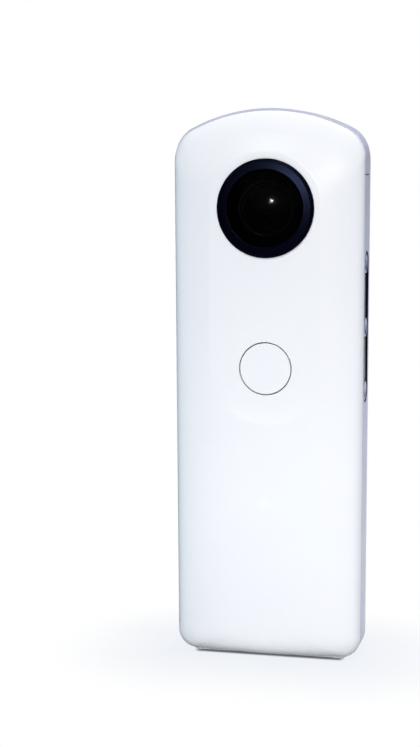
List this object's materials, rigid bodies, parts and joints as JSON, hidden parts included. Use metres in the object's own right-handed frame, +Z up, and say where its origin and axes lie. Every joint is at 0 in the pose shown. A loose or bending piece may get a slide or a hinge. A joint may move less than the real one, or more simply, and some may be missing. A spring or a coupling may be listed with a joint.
{
  "type": "360 degree camera",
  "caption": "Slim hand-held 360 degree camera with opposed dome lenses over folded optics, a round shutter button on the front, keys on one side and a tripod thread in the base.",
  "frame": {"origin": "on the table under the middle of the body", "axes": "+Z up along the body, -Y out of the front with the shutter button, +X out of the side with the keys"},
  "size_m": [0.0452, 0.0228, 0.1306],
  "materials": {
    "shell_white": "satin moulded, cool white",
    "button_white": "satin moulded, cool white",
    "base_white": "matt moulded, white",
    "band_grey": "satin lavender grey paint",
    "strip_black": "glossy blue black",
    "key_metal": "spun, bright",
    "lamp": "clear light guide",
    "plunger": "moulded",
    "ring_black": "satin black",
    "seal_rubber": "moulded",
    "dome_glass": "polished and coated",
    "inner_glass": "polished and coated",
    "optics_black": "matt, light absorbing",
    "chip_dark": "moulded",
    "board": "solder mask",
    "flat_cable": "film",
    "chassis_metal": "stamped",
    "shield_metal": "plated sheet",
    "cell_wrap": "foil pouch",
    "bush_brass": "turned",
    "screw_steel": "turned"
  },
  "bodies": {
    "camera": {"front_shell": "shell_white", "rear_shell": "shell_white", "side_frame": "band_grey", "top_cap": "band_grey", "base_plate": "base_white", "control_strip": "strip_black", "front_lens_ring": "ring_black", "front_lens_seal": "seal_rubber", "front_dome_lens": "dome_glass", "front_lens_barrel": "optics_black", "front_second_lens": "inner_glass", "front_prism": "inner_glass", "front_imaging_barrel": "optics_black", "front_imaging_lenses": "inner_glass", "front_sensor": "chip_dark", "front_sensor_board": "board", "front_sensor_cable": "flat_cable", "rear_lens_ring": "ring_black", "rear_lens_seal": "seal_rubber", "rear_dome_lens": "dome_glass", "rear_lens_barrel": "optics_black", "rear_second_lens": "inner_glass", "rear_prism": "inner_glass", "rear_imaging_barrel": "optics_black", "rear_imaging_lenses": "inner_glass", "rear_sensor": "chip_dark", "rear_sensor_board": "board", "rear_sensor_cable": "flat_cable", "optics_block": "optics_black", "chassis": "chassis_metal", "main_board": "board", "processor_shield": "shield_metal", "memory_chip": "chip_dark", "wireless_module": "shield_metal", "status_lamps": "lamp", "shutter_switch": "shield_metal", "key_board": "board", "key_switches": "shield_metal", "battery": "cell_wrap", "battery_lead": "flat_cable", "microphone": "shield_metal", "antenna": "flat_cable", "loudspeaker": "chip_dark", "charging_socket": "shield_metal", "socket_tongue": "chip_dark", "tripod_bush": "bush_brass", "chassis_screws": "screw_steel", "board_screws": "screw_steel", "base_screws": "screw_steel"},
    "shutter": {"shutter_button": "button_white", "shutter_plunger": "plunger"},
    "power_key": {"power_button": "key_metal", "power_lamp": "lamp", "power_plunger": "plunger"},
    "wireless_key": {"wireless_button": "key_metal", "wireless_plunger": "plunger"},
    "mode_key": {"mode_button": "key_metal", "mode_plunger": "plunger"}
  },
  "joints": [
    {"name": "shutter_press", "type": "slide", "parent": "camera", "child": "shutter", "axis": [0, 1, 0], "range_m": [0, 0.0004], "stiffness_N_per_m": 1500},
    {"name": "power_press", "type": "slide", "parent": "camera", "child": "power_key", "axis": [-1, 0, 0], "range_m": [0, 0.0003], "stiffness_N_per_m": 1500},
    {"name": "wireless_press", "type": "slide", "parent": "camera", "child": "wireless_key", "axis": [-1, 0, 0], "range_m": [0, 0.0003], "stiffness_N_per_m": 1500},
    {"name": "mode_press", "type": "slide", "parent": "camera", "child": "mode_key", "axis": [-1, 0, 0], "range_m": [0, 0.0003], "stiffness_N_per_m": 1500}
  ]
}
